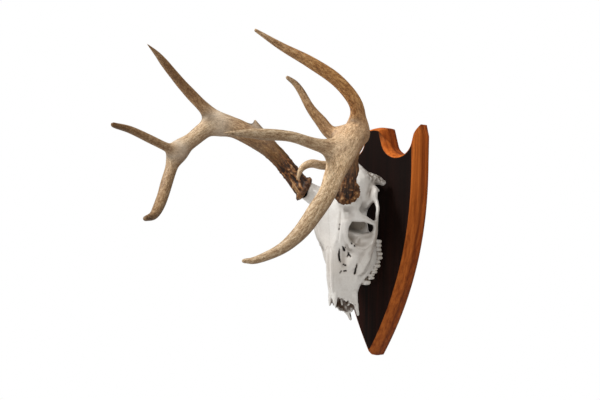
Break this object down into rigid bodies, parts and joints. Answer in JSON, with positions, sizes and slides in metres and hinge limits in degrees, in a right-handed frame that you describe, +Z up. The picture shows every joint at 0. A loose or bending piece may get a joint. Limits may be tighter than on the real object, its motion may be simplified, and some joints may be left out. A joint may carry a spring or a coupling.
{
  "type": "deer skull wall mount",
  "caption": "Bleached deer skull with branching antlers on a bevelled arrowhead-shaped wooden plaque, to hang flat on a wall.",
  "frame": {"origin": "on the plaque's flat back, on its line of symmetry, 199 mm above its lower point", "axes": "+Y into the wall, the mount standing out towards -Y; +Z up; +X to the deer's left"},
  "size_m": [0.4027, 0.4848, 0.5059],
  "materials": {
    "stained_wood": "semi-gloss varnish over dark stain, orange-brown on the bevel and edge",
    "bleached_bone": "bleached white bone, satin, with small dark foramina",
    "antler": "tan antler, grooved and dark near the burr, paler and polished at the tips"
  },
  "bodies": {
    "root": {"plaque": "stained_wood", "skull": "bleached_bone", "antler_left": "antler", "antler_right": "antler"}
  },
  "joints": []
}
